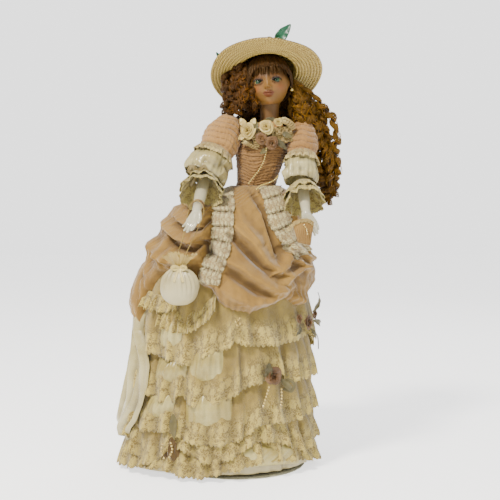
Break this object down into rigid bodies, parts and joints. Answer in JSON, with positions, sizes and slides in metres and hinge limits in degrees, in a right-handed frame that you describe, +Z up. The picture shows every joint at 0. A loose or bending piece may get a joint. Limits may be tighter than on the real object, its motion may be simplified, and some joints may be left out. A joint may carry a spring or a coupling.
{
  "type": "porcelain doll",
  "caption": "Dressed porcelain doll in a straw hat, tiered lace skirt and puffed sleeves, standing on a round metal doll stand with a waist clip.",
  "frame": {"origin": "centre of the underside of the stand's round base plate", "axes": "+Z up along the doll's height, -Y the way the doll faces, -X the doll's right hand side"},
  "size_m": [0.2948, 0.2616, 0.5672],
  "materials": {
    "steel": "satin",
    "bisque": "matte bisque",
    "white_china": "glazed",
    "eye_glass": "gloss",
    "hair": "wig fibre",
    "straw": "plaited straw",
    "teal_satin": "satin ribbon",
    "muslin": "matte",
    "peach_chiffon": "soft sheen",
    "white_satin": "satin",
    "cream_lace": "lace",
    "rose_satin": "satin ribbon",
    "pearl": "pearl",
    "gilt_thread": "thread",
    "pate_card": "pressed card"
  },
  "bodies": {
    "stand": {"stand_base": "steel", "stand_socket": "steel", "stand_tube": "steel"},
    "doll": {"stand_rod": "steel", "waist_clip": "steel", "torso": "muslin", "shoulder_plate": "bisque", "bodice": "peach_chiffon", "petticoat": "muslin", "underskirt": "white_satin", "lace_flounce_1": "cream_lace", "lace_flounce_2": "cream_lace", "lace_flounce_3": "cream_lace", "lace_flounce_4": "cream_lace", "lace_flounce_5": "cream_lace", "overskirt": "peach_chiffon", "rose_shoulder": "white_satin", "roses_neckline": "rose_satin", "rose_skirt_front": "rose_satin", "rose_skirt_side": "rose_satin", "pearls_front": "pearl", "pearls_side": "pearl"},
    "head": {"head": "bisque", "pate": "pate_card", "eye_right": "eye_glass", "eye_left": "eye_glass", "earring_right": "pearl", "earring_left": "pearl", "neck_bolt": "steel", "neck_nut": "steel", "wig_cap": "hair", "ringlets_right": "hair", "ringlets_left": "hair", "ringlets_back": "hair"},
    "hat": {"straw_hat": "straw", "hat_band": "teal_satin", "hat_bow": "teal_satin"},
    "arm_right": {"upper_arm_right": "muslin", "arm_wire_right": "steel", "sleeve_puff_right": "peach_chiffon", "sleeve_satin_right": "white_satin"},
    "forearm_right": {"forearm_right": "white_china", "lace_cuff_right": "cream_lace", "bracelet": "gilt_thread"},
    "purse": {"purse_bag": "white_satin", "purse_tie": "white_satin", "purse_handle": "white_satin"},
    "arm_left": {"upper_arm_left": "muslin", "arm_wire_left": "steel", "sleeve_puff_left": "peach_chiffon", "sleeve_satin_left": "white_satin"},
    "forearm_left": {"forearm_left": "white_china", "lace_cuff_left": "cream_lace"},
    "leg_right": {"thigh_right": "muslin", "shin_right": "white_china", "pantaloon_right": "muslin"},
    "leg_left": {"thigh_left": "muslin", "shin_left": "white_china", "pantaloon_left": "muslin"}
  },
  "joints": [
    {"name": "stand_height", "type": "slide", "parent": "stand", "child": "doll", "axis": [0, 0, 1], "range_m": [0, 0.04]},
    {"name": "neck_swivel", "type": "hinge", "parent": "doll", "child": "head", "pos_m": [0.042, 0.003, 0.4545], "axis": [0, 0, 1], "range_deg": [-30, 30], "deforming": ["ringlets_left", "ringlets_right", "ringlets_back"]},
    {"name": "hat_lift", "type": "slide", "parent": "head", "child": "hat", "axis": [-0.0483, 0.5446, 0.8373], "range_m": [0, 0.08]},
    {"name": "shoulder_right", "type": "hinge", "parent": "doll", "child": "arm_right", "pos_m": [-0.012, 0, 0.452], "axis": [-1, 0, 0], "range_deg": [0, 30], "deforming": ["sleeve_puff_right"]},
    {"name": "elbow_right", "type": "hinge", "parent": "arm_right", "child": "forearm_right", "pos_m": [-0.041, -0.03, 0.391], "axis": [-1, 0, 0], "range_deg": [0, 30], "deforming": ["sleeve_satin_right"]},
    {"name": "purse_swing", "type": "hinge", "parent": "forearm_right", "child": "purse", "pos_m": [-0.05, -0.108, 0.3505], "axis": [-1, 0, 0], "range_deg": [-2, 6]},
    {"name": "shoulder_left", "type": "hinge", "parent": "doll", "child": "arm_left", "pos_m": [0.0865, 0, 0.446], "axis": [-1, 0, 0], "range_deg": [0, 30], "deforming": ["sleeve_puff_left"]},
    {"name": "elbow_left", "type": "hinge", "parent": "arm_left", "child": "forearm_left", "pos_m": [0.082, -0.03, 0.385], "axis": [-1, 0, 0], "range_deg": [0, 30], "deforming": ["sleeve_satin_left"]},
    {"name": "hip_right", "type": "hinge", "parent": "doll", "child": "leg_right", "pos_m": [-0.005, 0, 0.287], "axis": [-1, 0, 0], "range_deg": [0, 8]},
    {"name": "hip_left", "type": "hinge", "parent": "doll", "child": "leg_left", "pos_m": [0.027, 0, 0.287], "axis": [-1, 0, 0], "range_deg": [0, 8]}
  ]
}
